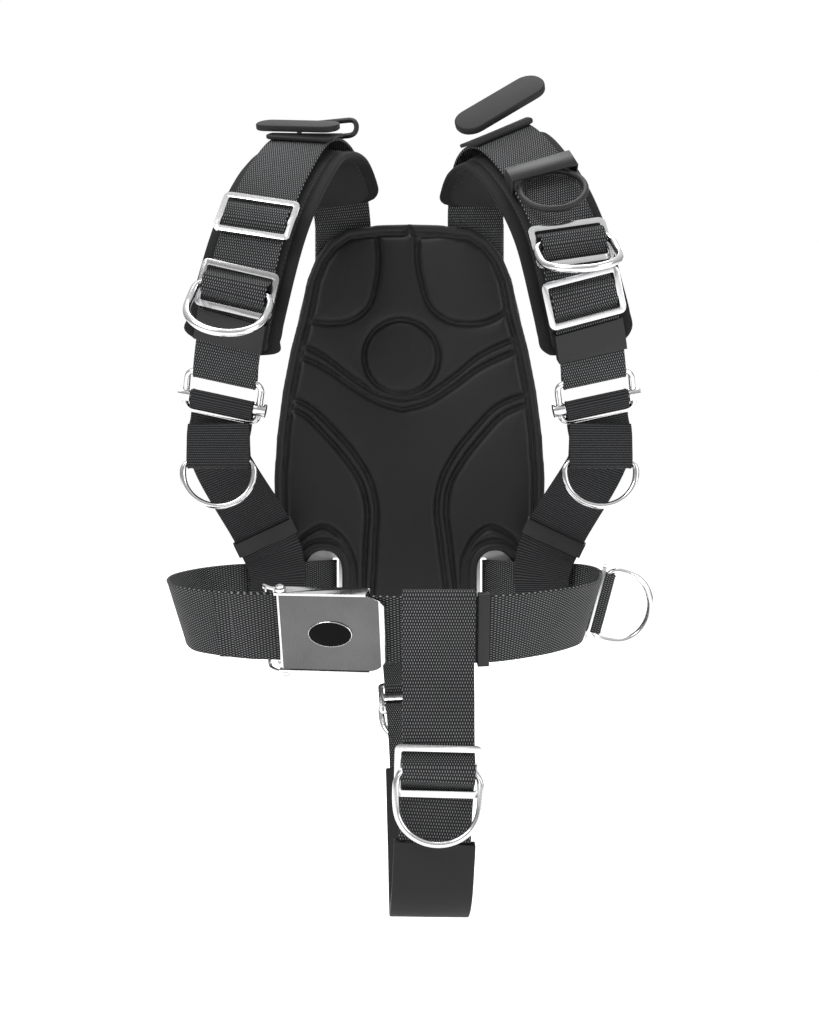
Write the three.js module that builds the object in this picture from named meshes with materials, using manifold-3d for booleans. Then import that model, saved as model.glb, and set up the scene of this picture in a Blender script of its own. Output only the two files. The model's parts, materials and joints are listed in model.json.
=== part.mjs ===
// Backplate diving harness: a moulded back pad on a bent steel plate, two padded shoulder straps with
// quick adjusters, a waist belt with a cam buckle, and a crotch strap, posed as it is worn.
//
// Millimetres. +X is the wearer's left, +Y the wearer's back, +Z up. The origin is the centre of the
// flat rear face of the plate's channel, where a buoyancy wing or a cylinder is bolted on.

import * as THREE from 'three';
import { mergeVertices } from 'three/addons/utils/BufferGeometryUtils.js';
import ManifoldModule from 'manifold-3d';

const wasm = await ManifoldModule();
wasm.setup();

// ---------------------------------------------------------------------------------------------
// Driving dimensions

const fit = 0.35;                    // clearance between pieces that touch
const webbing = { width: 50, thickness: 2.4 };

const plate = {
  thickness: 3,
  channelFlat: 40,                   // width of the channel's rear face
  channelMouth: 62,                  // width of the channel where it meets the wings
  channelDepth: 19,
  wingRise: 11,                      // how far forward each wing's outer edge leans
  halfWidth: 116,                    // at the waist
  topHalfWidth: 88,
  top: 168,
  bottom: -162,
  boltSpacing: 279,                  // two bolts, 11 inches apart
  boltHole: 9,
};
const shoulderSlot = { x: 60, z: 148, height: 7 };
const waistSlot = { x: 66.5, z: -138, width: 6 };
const crotchTab = { halfWidth: 38, bottom: -190, slotZ: -176, slotHeight: 7 };

const pad = {
  thickness: 15,
  halfWidth: 120,
  topHalfWidth: 86,
  top: 186,
  bottom: -166,
  cornerRadius: 30,
  window: { inner: 60, outer: 93, bottom: -170, top: -104 },
};
const screw = { shank: 5, head: 11, headHeight: 2, depth: 9 };

const shoulderPad = { width: 74, thickness: 8 };
const slider = { width: 61, height: 36, thickness: 2.6, bar: 8, slot: 9.4, corner: 5 };
const wire = { shoulder: 6, plain: 5.5, adjuster: 5 };
const adjuster = { width: 64, height: 34, barDrop: 22, barRadius: 3, knobRadius: 5.5 };
const buckle = { height: 56, sheet: 1.6, leverLength: 73, pinRadius: 1.8, rise: 6.4 };
const roundness = { wireSides: 6, wireSteps: 26, loopSteps: 32, holeSides: 12, cornerSteps: 2 };

// ---------------------------------------------------------------------------------------------
// Materials

const cloth = new THREE.MeshStandardMaterial({ color: 0x1d1e20, roughness: 0.9 });
const webCloth = new THREE.MeshStandardMaterial({ color: 0x2b2c2e, roughness: 0.85 });
const steel = new THREE.MeshStandardMaterial({ color: 0xc9cbcc, roughness: 0.25, metalness: 1 });
const brushedSteel = new THREE.MeshStandardMaterial({ color: 0xa9abac, roughness: 0.4, metalness: 1 });
const blackPlastic = new THREE.MeshStandardMaterial({ color: 0x151617, roughness: 0.55 });
const rubber = new THREE.MeshStandardMaterial({ color: 0x18191a, roughness: 0.7 });

// ---------------------------------------------------------------------------------------------
// Solids: joining and cutting

function solidOf(geometry) {
  const bare = geometry.clone();
  for (const name of Object.keys(bare.attributes)) {
    if (name !== 'position') bare.deleteAttribute(name);
  }
  const merged = mergeVertices(bare, 1e-4);
  const count = merged.attributes.position.count;
  const triVerts = merged.index
    ? new Uint32Array(merged.index.array)
    : Uint32Array.from({ length: count }, (_, i) => i);
  return new wasm.Manifold(new wasm.Mesh({
    numProp: 3,
    vertProperties: new Float32Array(merged.attributes.position.array),
    triVerts,
  }));
}

function geometryOf(solid) {
  const mesh = solid.getMesh();
  const geometry = new THREE.BufferGeometry();
  geometry.setAttribute('position', new THREE.BufferAttribute(new Float32Array(mesh.vertProperties), 3));
  geometry.setIndex(new THREE.BufferAttribute(new Uint32Array(mesh.triVerts), 1));
  return geometry;
}

const cut = (body, ...cutters) => geometryOf(
  cutters.reduce((solid, cutter) => solid.subtract(solidOf(cutter)), solidOf(body)));

const join = (body, ...others) => geometryOf(
  others.reduce((solid, other) => solid.add(solidOf(other)), solidOf(body)));

const common = (body, other) => geometryOf(solidOf(body).intersect(solidOf(other)));

const moved = (geometry, x, y, z) => geometry.clone().translate(x, y, z);

function boxBetween([x0, y0, z0], [x1, y1, z1]) {
  const box = new THREE.BoxGeometry(x1 - x0, y1 - y0, z1 - z0);
  return box.translate((x0 + x1) / 2, (y0 + y1) / 2, (z0 + z1) / 2);
}

// A rectangle with round corners, centred on the origin unless moved.
function roundedRect(width, height, radius, x = 0, y = 0, path = new THREE.Shape()) {
  const [left, right, low, high] = [x - width / 2, x + width / 2, y - height / 2, y + height / 2];
  path.moveTo(left + radius, low);
  path.lineTo(right - radius, low);
  path.absarc(right - radius, low + radius, radius, -Math.PI / 2, 0);
  path.lineTo(right, high - radius);
  path.absarc(right - radius, high - radius, radius, 0, Math.PI / 2);
  path.lineTo(left + radius, high);
  path.absarc(left + radius, high - radius, radius, Math.PI / 2, Math.PI);
  path.lineTo(left, low + radius);
  path.absarc(left + radius, low + radius, radius, Math.PI, Math.PI * 1.5);
  return path;
}

// A flat plate of this outline, its thickness centred on z = 0.
function sheet(shape, thickness, curveSegments = roundness.cornerSteps) {
  const geometry = new THREE.ExtrudeGeometry(shape, { depth: thickness, bevelEnabled: false, curveSegments });
  return geometry.translate(0, 0, -thickness / 2);
}

// An outline drawn in X and Z, extruded along Y from y0 to y1.
function slab(shape, y0, y1, curveSegments = 2 * roundness.cornerSteps) {
  const geometry = new THREE.ExtrudeGeometry(shape, { depth: y1 - y0, bevelEnabled: false, curveSegments });
  return geometry.rotateX(Math.PI / 2).translate(0, y1, 0);
}

// ---------------------------------------------------------------------------------------------
// Straps. A route is a smooth line with, at each station, the way that the strap's outer face looks.
// Its frame has X across the strap, Y along it and Z out of its outer face.

class Route {
  constructor(stations) {
    const points = stations.map(([x, y, z]) => new THREE.Vector3(x, y, z));
    this.facings = stations.map(([, , , x, y, z]) => new THREE.Vector3(x, y, z).normalize());
    this.curve = new THREE.CatmullRomCurve3(points, false, 'centripetal');
    this.curve.arcLengthDivisions = 2000;
    this.length = this.curve.getLength();
  }

  // The distance along the route at which this station lies.
  distanceTo(station) {
    const index = station < 0 ? this.facings.length + station : station;
    const lengths = this.curve.getLengths();
    return lengths[Math.round(index / (this.facings.length - 1) * 2000)];
  }

  frame(distance, lift = 0) {
    const t = this.curve.getUtoTmapping(THREE.MathUtils.clamp(distance / this.length, 0, 1));
    const point = this.curve.getPoint(t);
    const along = this.curve.getTangent(t);
    const place = Math.min(t * (this.facings.length - 1), this.facings.length - 1.000001);
    const index = Math.floor(place);
    const facing = this.facings[index].clone().lerp(this.facings[index + 1], place - index);
    const across = new THREE.Vector3().crossVectors(along, facing).normalize();
    const out = new THREE.Vector3().crossVectors(across, along).normalize();
    return { point: point.addScaledVector(out, lift), along, across, out };
  }

  matrix(distance, lift = 0) {
    const { point, along, across, out } = this.frame(distance, lift);
    return new THREE.Matrix4().makeBasis(across, along, out).setPosition(point);
  }
}

const smooth = (value) => THREE.MathUtils.smoothstep(value, 0, 1);

// How far the webbing stands off its route, where it climbs over the middle bar of each slider.
function humpLift(humps) {
  return (distance) => humps.reduce((lift, { at, height, flat, run }) => (
    lift + height * smooth((flat + run - Math.abs(distance - at)) / run)), 0);
}

// A box bent along a route: the solid of one length of webbing, padding or elastic.
function strap(route, { from = 0, to = route.length, width = webbing.width, thickness = webbing.thickness,
  humps = [], lift = 0, endRadius = 0, maxStep = 9, maxTurn = 13 }) {
  const rise = humpLift(humps);
  const pointAt = (distance) => route.frame(distance, lift + rise(distance)).point;
  const reach = 0.15;
  const heading = (distance) => {
    const [low, high] = [Math.max(distance - reach, 0), Math.min(distance + reach, route.length)];
    return pointAt(high).sub(pointAt(low)).normalize();
  };
  const turn = (a, b) => THREE.MathUtils.radToDeg(heading(a).angleTo(heading(b)));
  const stations = [from];
  while (stations.at(-1) < to) {
    const here = stations.at(-1);
    const endStep = Math.min(here - from, to - here) < endRadius ? endRadius / 5 : maxStep;
    let step = Math.min(endStep, to - here);
    while (step > 0.7 && turn(here, here + step / 2) + turn(here + step / 2, here + step) > maxTurn) step /= 2;
    stations.push(to - here - step < 0.3 ? to : here + step);
  }
  const rings = stations.map((distance) => {
    const { across } = route.frame(distance);
    const along = heading(distance);
    const inset = Math.max(endRadius - Math.min(distance - from, to - distance), 0);
    const narrowing = endRadius - Math.sqrt(endRadius ** 2 - inset ** 2);
    return { point: pointAt(distance), across, out: across.clone().cross(along).normalize(),
      half: Math.max(width / 2 - narrowing, 0.8) };
  });
  const rows = rings.length - 1;
  const geometry = new THREE.BoxGeometry(2, rows, thickness, 1, rows, 1);
  const position = geometry.attributes.position;
  for (let i = 0; i < position.count; i += 1) {
    const ring = rings[Math.round(position.getY(i) + rows / 2)];
    const place = ring.point.clone()
      .addScaledVector(ring.across, position.getX(i) * ring.half)
      .addScaledVector(ring.out, position.getZ(i));
    position.setXYZ(i, place.x, place.y, place.z);
  }
  return geometry;
}

// Stations that turn the strap back round a bar and lay its tail on itself. The last two stations give
// the direction; side -1 folds the tail to the inner face and +1 to the outer.
function foldBack(stations, { barRadius, tail, side = -1 }) {
  const last = stations.at(-1);
  const before = stations.at(-2);
  const end = new THREE.Vector3(...last.slice(0, 3));
  const along = end.clone().sub(new THREE.Vector3(...before.slice(0, 3))).normalize();
  const facing = new THREE.Vector3(...last.slice(3));
  const across = new THREE.Vector3().crossVectors(along, facing).normalize();
  const out = new THREE.Vector3().crossVectors(across, along);
  const radius = barRadius + fit + webbing.thickness / 2;
  const bar = end.clone().addScaledVector(out, side * radius);
  const added = [45, 90, 135, 180].map((degrees) => {
    const [cos, sin] = [Math.cos(degrees * Math.PI / 180), Math.sin(degrees * Math.PI / 180)];
    const point = bar.clone().addScaledVector(out, -side * cos * radius).addScaledVector(along, sin * radius);
    const look = out.clone().multiplyScalar(cos).addScaledVector(along, -side * sin);
    return [...point.toArray(), ...look.toArray()];
  });
  const layer = side * (webbing.thickness + fit);
  const run = 4 * radius;
  for (const back of [run, run + 6, tail].filter((distance, i) => i < 1 || distance > run)) {
    const point = end.clone().addScaledVector(out, layer).addScaledVector(along, -back);
    added.push([...point.toArray(), ...out.clone().negate().toArray()]);
  }
  const matrix = new THREE.Matrix4().makeBasis(across, along, out).setPosition(bar);
  return { stations: [...stations, ...added], bar: matrix };
}

// ---------------------------------------------------------------------------------------------
// The model's tree

const model = new THREE.Group();

function add(name, geometry, material, matrix) {
  const mesh = new THREE.Mesh(geometry, material);
  mesh.name = name;
  if (matrix) mesh.applyMatrix4(matrix);
  model.add(mesh);
  return mesh;
}

// ---------------------------------------------------------------------------------------------
// Hardware

// A flat slide with two slots: the webbing climbs over its middle bar.
function sliderPlate() {
  const shape = roundedRect(slider.width, slider.height, slider.corner);
  for (const end of [-1, 1]) {
    const y = end * (slider.bar + slider.slot) / 2;
    shape.holes.push(roundedRect(webbing.width + 2, slider.slot, 1.5, 0, y, new THREE.Path()));
  }
  return sheet(shape, slider.thickness);
}

const sliderLift = slider.thickness / 2 + webbing.thickness / 2 + 1.5 * fit;

const humpOver = (at, wireDiameter = 0) => ({
  at,
  height: 2 * sliderLift + (wireDiameter ? wireDiameter + fit : 0),
  flat: (wireDiameter ? 2.6 : slider.bar / 2) + 0.9,
  run: slider.bar / 2 + slider.slot - 1.2 - (wireDiameter ? 2.6 : slider.bar / 2) - 0.9,
});

// A D-ring whose straight bar lies along X through the origin and whose bow hangs toward +Y, bent
// toward +Z by this angle from a third of the way down.
function dRing({ width, drop, wireDiameter, bend = 0 }) {
  const half = (width - wireDiameter) / 2;
  const knee = drop * 0.3;
  const angle = THREE.MathUtils.degToRad(bend);
  const place = (x, y) => new THREE.Vector3(
    x,
    y <= knee ? y : knee + (y - knee) * Math.cos(angle),
    y <= knee ? 0 : (y - knee) * Math.sin(angle),
  );
  const points = [place(-half + 4, 0), place(0, 0), place(half - 4, 0), place(half - 0.9, 1)];
  const bowStart = drop - half > 3 ? drop - half : 3;
  for (let step = 0; step <= 10; step += 1) {
    const turn = Math.PI * step / 10;
    points.push(place(half * Math.cos(turn), bowStart + (drop - bowStart - wireDiameter / 2) * Math.sin(turn)));
  }
  points.push(place(-half + 0.9, 1));
  const curve = new THREE.CatmullRomCurve3(points, true, 'centripetal');
  return new THREE.TubeGeometry(curve, roundness.wireSteps, wireDiameter / 2, roundness.wireSides, true);
}

// A closed wire frame round a rectangle with round corners, in the XY plane.
function wireLoop(left, right, low, high, radius, wireDiameter) {
  const outline = roundedRect(right - left, high - low, radius, (left + right) / 2, (low + high) / 2);
  const segments = roundness.loopSteps;
  const points = outline.getSpacedPoints(segments).slice(0, segments)
    .map(({ x, y }) => new THREE.Vector3(x, y, 0));
  const curve = new THREE.CatmullRomCurve3(points, true, 'centripetal');
  return new THREE.TubeGeometry(curve, segments, wireDiameter / 2, roundness.wireSides, true);
}

// A band or sleeve round a strap: a tube of this inner width and depth, bent along the route.
function sleeveAlong(route, { from, to, width, depth, wall, lift = 0, maxStep = 8 }) {
  const outer = { from, to, width: width + 2 * wall, thickness: depth + 2 * wall, lift, maxStep };
  const inner = { from: from - 4, to: to + 4, width, thickness: depth, lift, maxStep: 5 };
  return cut(strap(route, outer), strap(route, inner));
}

const hole = (radius, length) => new THREE.CylinderGeometry(radius, radius, length, roundness.holeSides);
const rod = (radius, length) => hole(radius, length).rotateZ(Math.PI / 2);

// ---------------------------------------------------------------------------------------------
// Backplate and pad

const wingRear = (x) => -plate.channelDepth
  - plate.wingRise * (Math.abs(x) - plate.channelMouth / 2) / (plate.halfWidth - plate.channelMouth / 2);

// The plate's bent section, from above, thickened forward by this much.
function bentSection(front, back) {
  const half = plate.channelFlat / 2;
  const mouth = plate.channelMouth / 2;
  const edge = plate.halfWidth + 2;
  const rear = [[-edge, wingRear(edge)], [-mouth, wingRear(mouth)], [-half, 0], [half, 0],
    [mouth, wingRear(mouth)], [edge, wingRear(edge)]];
  const slope = Math.hypot(mouth - half, plate.channelDepth) / plate.channelDepth;
  const inner = rear.map(([x, y]) => {
    const shift = Math.abs(x) <= mouth ? (slope - 0.6) * (plate.thickness + front) * 0.9 * Math.sign(-x) : 0;
    return [x + shift, y - plate.thickness - front];
  }).reverse();
  const section = [...rear.map(([x, y]) => [x, y - back]), ...inner];
  const shape = new THREE.Shape(section.map(([x, y]) => new THREE.Vector2(x, y)));
  const depth = 420;
  return new THREE.ExtrudeGeometry(shape, { depth, bevelEnabled: false }).translate(0, 0, -depth / 2);
}

// Half the outline of plate or pad, mirrored: straight sides that close in toward the shoulders.
function backOutline({ halfWidth, topHalfWidth, top, bottom }, corner, bottomHalf) {
  const shape = new THREE.Shape();
  const waist = -40;
  shape.moveTo(-bottomHalf + corner, bottom);
  shape.lineTo(bottomHalf - corner, bottom);
  shape.quadraticCurveTo(bottomHalf, bottom, bottomHalf, bottom + corner);
  shape.quadraticCurveTo(halfWidth, bottom + corner + 20, halfWidth, waist);
  shape.quadraticCurveTo(halfWidth - 3, 40, topHalfWidth + 10, 110);
  shape.quadraticCurveTo(topHalfWidth + 4, top - 20, topHalfWidth - corner, top - 4);
  shape.quadraticCurveTo(0, top + 6, -topHalfWidth + corner, top - 4);
  shape.quadraticCurveTo(-topHalfWidth - 4, top - 20, -topHalfWidth - 10, 110);
  shape.quadraticCurveTo(-halfWidth + 3, 40, -halfWidth, waist);
  shape.quadraticCurveTo(-halfWidth, bottom + corner + 20, -bottomHalf, bottom + corner);
  shape.quadraticCurveTo(-bottomHalf, bottom, -bottomHalf + corner, bottom);
  return shape;
}

// Each pad screw stands square to the wing that it passes through.
const wingLean = Math.atan2(plate.wingRise, plate.halfWidth - plate.channelMouth / 2);
const screwMatrices = [[-78, 118], [78, 118], [-98, -60], [98, -60]].map(([x, z]) => (
  new THREE.Matrix4().makeRotationZ(-Math.sign(x) * wingLean).setPosition(x, wingRear(x), z)));

const screwHoles = (depth) => screwMatrices.map((matrix) => (
  hole(screw.shank / 2 + fit, 2 * depth).applyMatrix4(matrix)));

function backplate() {
  const outline = slab(backOutline(plate, 24, plate.halfWidth - 8), -60, 10);
  const tab = boxBetween(
    [-crotchTab.halfWidth, wingRear(plate.channelMouth / 2) - plate.thickness, crotchTab.bottom],
    [crotchTab.halfWidth, wingRear(plate.channelMouth / 2), plate.bottom + 6]);
  const slots = [
    ...[-1, 1].map((side) => slab(roundedRect(webbing.width + 4, shoulderSlot.height, 3,
      side * shoulderSlot.x, shoulderSlot.z), -60, 10)),
    ...[-1, 1].map((side) => slab(roundedRect(waistSlot.width, webbing.width + 4, 2.5,
      side * waistSlot.x, waistSlot.z), -60, 10)),
    slab(roundedRect(webbing.width + 4, crotchTab.slotHeight, 2.5, 0, crotchTab.slotZ), -60, 10),
  ];
  const holes = [
    ...[-1, 1].map((end) => moved(hole(plate.boltHole / 2, 40), 0, 0, end * plate.boltSpacing / 2)),
    ...screwHoles(20),
    ...[-1, 1].flatMap((side) => [40, -10].map((z) => slab(roundedRect(26, 34, 12, side * 72, z), -60, 10))),
  ];
  return cut(join(common(bentSection(0, 0), outline), tab), ...slots, ...holes);
}

// The pad fills the space before the plate: its rear face follows the wings and bridges the channel.
function padSection() {
  const mouth = plate.channelMouth / 2;
  const edge = pad.halfWidth + 2;
  const rear = [edge, mouth, -mouth, -edge].map((x) => [x, wingRear(x) - plate.thickness - fit]);
  const front = [[-edge, -6], [-mouth, -1], [0, 0], [mouth, -1], [edge, -6]]
    .map(([x, y]) => [x, wingRear(mouth) - plate.thickness - fit - pad.thickness + y * 1.2]);
  const shape = new THREE.Shape([...rear, ...front].map(([x, y]) => new THREE.Vector2(x, y)));
  return new THREE.ExtrudeGeometry(shape, { depth: 420, bevelEnabled: false }).translate(0, 0, -210);
}

function backPad() {
  const outline = slab(backOutline(pad, pad.cornerRadius, pad.halfWidth - 12), -80, 10);
  const { inner, outer, top, bottom } = pad.window;
  const windows = [-1, 1].map((side) => {
    const shape = new THREE.Shape();
    const middle = side * (inner + outer) / 2;
    const half = (outer - inner) / 2;
    shape.moveTo(middle - half, bottom);
    shape.lineTo(middle + half, bottom);
    shape.lineTo(middle + half, top - half);
    shape.absarc(middle, top - half, half, 0, Math.PI);
    return slab(shape, -80, 10);
  });
  const reliefs = [-1, 1].map((side) => boxBetween(
    [side * shoulderSlot.x - webbing.width / 2 - 2, -plate.channelDepth - plate.thickness - 12, shoulderSlot.z - 10],
    [side * shoulderSlot.x + webbing.width / 2 + 2, -plate.channelDepth, pad.top + 12]));
  return cut(common(padSection(), outline), ...windows, ...reliefs, ...screwHoles(plate.thickness + screw.depth));
}

function padScrew() {
  const head = new THREE.CylinderGeometry(screw.head / 2, screw.head / 2 - 0.6, screw.headHeight, roundness.holeSides);
  const length = plate.thickness + screw.depth - 1 + fit;
  const shank = new THREE.CylinderGeometry(screw.shank / 2, screw.shank / 2, length, roundness.holeSides);
  return join(
    head.translate(0, screw.headHeight / 2 + fit, 0),
    shank.translate(0, 0.5 + fit - length / 2, 0));
}

add('backplate', backplate(), brushedSteel);
add('back_pad', backPad(), cloth);
screwMatrices.forEach((matrix, i) => add(`pad_screw_${i + 1}`, padScrew(), steel, matrix));

// ---------------------------------------------------------------------------------------------
// Shoulder straps. side is +1 for the wearer's left and -1 for the right.

const padGap = 2 * webbing.thickness + 7 * fit;

// A place on the left wing, this far behind its rear face.
function onWing(x, z, behind) {
  return [x + behind * Math.sin(wingLean), wingRear(x) + behind * Math.cos(wingLean), z];
}

const mirrored = ([x, y, z, fx, fy, fz], side) => [side * x, y, z, side * fx, fy, fz];

function shoulderRoute(side, roll) {
  const off = webbing.thickness / 2 + fit;
  const [lean, square] = [Math.sin(wingLean), Math.cos(wingLean)];
  const { x, z } = shoulderSlot;
  const radius = plate.thickness / 2 + off;
  const barLow = z + shoulderSlot.height / 2;
  const turn = [0, 45, 90, 135, 180].map((degrees) => {
    const [cos, sin] = [Math.cos(degrees * Math.PI / 180), Math.sin(degrees * Math.PI / 180)];
    return [...onWing(x, barLow - radius * sin, radius * cos - plate.thickness / 2), -lean * cos, -square * cos, sin];
  });
  const { stations, bar } = foldBack([
    [...onWing(x, z + 42, off + 1), -lean, -square, 0],
    ...turn,
    [...onWing(x, z + 32, -plate.thickness - off - 0.8), lean, square, 0],
    [63 - roll.x * 0.3, -37, 213, -roll.lean / 2, 0.85, 0.5],
    [72 - roll.x * 0.8, -64, 239, -roll.lean, 0.35, 1],
    [86 - roll.x, -108, 239 + roll.x / 4, -roll.lean, -0.4, 1],
    [101 - roll.x / 2, -152, 204 + roll.x / 4, 0.06 - roll.lean / 3, -0.9, 0.62],
    [116, -184, 154, 0.1, -1, 0.36],
    [129, -197, 97, 0.12, -1, 0.02],
    [139, -181, 58, 0.12, -1, -0.5],
    [144.5, -165.6, 33.5, 0.12, -1, -0.62],
  ].map((station) => mirrored(station, side)), { barRadius: wire.adjuster / 2, tail: 34 });
  return { route: new Route(stations), bar };
}

// Stations of a shoulder route, from the plate over the shoulder to the adjuster.
const landmark = { nape: 7, ridge: 8, crest: 9, collar: 10, chest: 11, breast: 12, end: 14 };

function shoulderStrap(name, side, roll, { plain, ringed, tilt, patch }) {
  const { route, bar } = shoulderRoute(side, roll);
  const place = Object.fromEntries(Object.entries(landmark).map(([key, station]) => [key, route.distanceTo(station)]));
  const plainAt = plain(place);
  const ringedAt = ringed(place);
  const humps = [humpOver(plainAt), humpOver(ringedAt, wire.shoulder)];

  add(`shoulder_webbing_${name}`, strap(route, { humps, to: route.length - 0.5 }), webCloth);
  add(`shoulder_pad_${name}`, strap(route, {
    from: place.nape - 10, to: place.end - 22, width: shoulderPad.width, thickness: shoulderPad.thickness,
    lift: -padGap - webbing.thickness / 2 - shoulderPad.thickness / 2, endRadius: 14, maxStep: 14, maxTurn: 18,
  }), cloth);
  add(`plain_slider_${name}`, sliderPlate(), steel, route.matrix(plainAt, sliderLift));
  add(`dring_slider_${name}`, sliderPlate(), steel, route.matrix(ringedAt, sliderLift));
  const ringLift = sliderLift + slider.thickness / 2 + fit + wire.shoulder / 2;
  add(`shoulder_dring_${name}`, dRing({ width: 65, drop: 50, wireDiameter: wire.shoulder, bend: 28 }), steel,
    route.matrix(ringedAt, ringLift).multiply(new THREE.Matrix4().makeRotationX(tilt)));

  // The keeper patch wraps the webbing and its tail, above the pad.
  const depth = 2 * webbing.thickness + 6.5 * fit;
  const middle = place.end - patch;
  add(`keeper_patch_${name}`, sleeveAlong(route, {
    from: middle - 12, to: middle + 12, width: webbing.width + 3 * fit, depth, wall: 1.3, maxStep: 4,
    lift: (webbing.thickness - depth) / 2 + 1.9 * fit,
  }), blackPlastic);
  return { route, bar, place, ringedAt };
}

// A hose keeper on top of the shoulder: a flap, hinged at one end, over a sewn base.
function hoseKeeper(name, route, at, { width, length, thickness, open, hingeSide, forward }) {
  const baseThickness = 3;
  const baseLift = webbing.thickness / 2 + fit + baseThickness / 2;
  add(`hose_keeper_base_${name}`, strap(route, {
    from: at - 17, to: at + 17, width: 58, thickness: baseThickness, lift: baseLift + 0.3, endRadius: 6, maxStep: 3,
  }), rubber);
  const flap = sheet(roundedRect(width, length, length / 2 - 1, -hingeSide * width / 2, 0), thickness, 6);
  const clearance = 1.6 + length / 2 * Math.sin(forward);
  const matrix = route.matrix(at, baseLift + baseThickness / 2 + clearance + thickness / 2)
    .multiply(new THREE.Matrix4().makeTranslation(hingeSide * 30, 0, 0))
    .multiply(new THREE.Matrix4().makeRotationY(hingeSide * open))
    .multiply(new THREE.Matrix4().makeRotationX(-forward));
  add(`hose_keeper_flap_${name}`, flap, cloth, matrix);
}

const right = shoulderStrap('right', -1, { x: 0, lean: 0 }, {
  plain: ({ chest }) => chest,
  ringed: ({ breast }) => breast,
  tilt: 0.35,
  patch: 41,
});
const left = shoulderStrap('left', 1, { x: 12, lean: 0.42 }, {
  plain: ({ breast }) => breast + 6,
  ringed: ({ chest }) => chest + 24,
  tilt: 0.25,
  patch: 33,
});

hoseKeeper('right', right.route, right.place.crest + 2,
  { width: 72, length: 24, thickness: 5, open: 0, hingeSide: -1, forward: 0.15 });
hoseKeeper('left', left.route, left.place.crest - 4,
  { width: 84, length: 30, thickness: 6, open: 0.12, hingeSide: 1, forward: 0.55 });

// The stiff hose loop stands behind the right keeper.
add('hose_loop_right', wireLoop(-26, 26, 0, 13, 5, 4.4), blackPlastic,
  right.route.matrix(right.place.crest - 24, webbing.thickness / 2 + 2 * fit + 2.2)
    .multiply(new THREE.Matrix4().makeTranslation(-10, 0, 0))
    .multiply(new THREE.Matrix4().makeRotationX(Math.PI / 2)));

// An elastic band on the left strap holds a plastic ring against it.
const ring = { radius: 25, wireDiameter: 5, drop: 23, tilt: 0.12 };
const bandAt = left.place.collar + 22;
const bandDepth = webbing.thickness + ring.wireDiameter + 4.8;
add('elastic_band_left', sleeveAlong(left.route, {
  from: bandAt - 8, to: bandAt + 8, width: webbing.width + 2, depth: bandDepth, wall: 1.3,
  lift: (bandDepth - webbing.thickness) / 2 - fit,
}), blackPlastic);
add('retaining_ring_left',
  new THREE.TorusGeometry(ring.radius, ring.wireDiameter / 2, roundness.wireSides, roundness.wireSteps).translate(0, ring.drop, 0), rubber,
  left.route.matrix(bandAt, webbing.thickness / 2 + fit + ring.wireDiameter / 2 + 0.3)
    .multiply(new THREE.Matrix4().makeRotationX(ring.tilt)));

// ---------------------------------------------------------------------------------------------
// Waist belt: one line from the right slot, round the front and back to the left slot.

const beltOff = webbing.thickness / 2 + fit;

// The stretch that both sides share, from behind the wing, through the slot and out round the hip.
function waistSide(side) {
  const { x, z } = waistSlot;
  const [lean, square] = [Math.sin(wingLean), Math.cos(wingLean)];
  const edge = x + waistSlot.width / 2;
  const radius = plate.thickness / 2 + beltOff;
  const turn = [0, 45, 90, 135].map((degrees) => {
    const [cos, sin] = [Math.cos(degrees * Math.PI / 180), Math.sin(degrees * Math.PI / 180)];
    return [...onWing(edge - radius * sin, z, radius * cos - plate.thickness / 2), sin, -cos, 0];
  });
  return [
    [...onWing(x + 42, z, beltOff), -lean, -square, 0],
    [...onWing(x + 18, z, beltOff), -lean, -square, 0],
    ...turn,
    [80, -41, z, 0.6, 0.8, 0],
    [91, -50.2, z - 0.5, 0.42, 0.91, 0],
    [117, -62.2, z - 1, 0.42, 0.91, 0],
    [145, -75.1, z - 1.5, 0.42, 0.91, 0],
  ].map((station) => mirrored(station, side));
}

// The buckle lies on a straight stretch of the belt. Y is the distance from its pin's line.
const buckleLine = {
  origin: new THREE.Vector3(-87, -256.6, -150.8),
  along: new THREE.Vector3(1, -0.137, -0.008).normalize(),
  facing: new THREE.Vector3(-0.135, -0.99, -0.32),
};
const bucklePlace = new THREE.Matrix4().makeBasis(
  buckleLine.along.clone().cross(buckleLine.facing).normalize(),
  buckleLine.along,
  buckleLine.along.clone().cross(buckleLine.facing).cross(buckleLine.along).normalize(),
).setPosition(buckleLine.origin);

const buckleStation = (y) => [
  ...new THREE.Vector3(0, y, 0).applyMatrix4(bucklePlace).toArray(), ...buckleLine.facing.toArray()];

const frontLeft = [
  [-5, -267.8, -151.6, -0.02, -1, -0.32],
  [20, -268.4, -151.6, 0, -1, -0.32],
  [45, -267.8, -151.5, 0.03, -1, -0.32],
  [59, -266.6, -151, 0.1, -1, -0.32],
  [76, -260.5, -150, 0.34, -0.94, -0.32],
  [106, -239, -148, 0.6, -0.8, -0.32],
  [132, -202, -146, 0.86, -0.5, -0.31],
  [143, -160, -144, 0.95, -0.3, -0.3],
  [148, -130, -142.5, 1, -0.1, -0.27],
  [151.5, -108, -142, 1, 0.08, -0.24],
  [153, -89, -141, 0.9, 0.5, -0.1],
];
const frontRight = [
  [-166, -90, -141, -0.62, 0.8, -0.15],
  [-178, -120, -142.5, -1, 0.25, -0.28],
  [-181.5, -152, -144, -1, -0.05, -0.3],
  [-175, -192, -146, -0.9, -0.45, -0.31],
  [-162, -223, -148, -0.6, -0.8, -0.31],
  [-136, -243, -149.6, -0.36, -0.94, -0.32],
  buckleStation(-26),
];

// The buckle's parts are drawn with the pin's line at Y = 0 and Z = rise; webbing runs along Y at Z = 0.
const floorLevel = -(webbing.thickness / 2 + fit + buckle.sheet / 2);
const slotReach = 6;
const endBar = 1.6;

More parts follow.
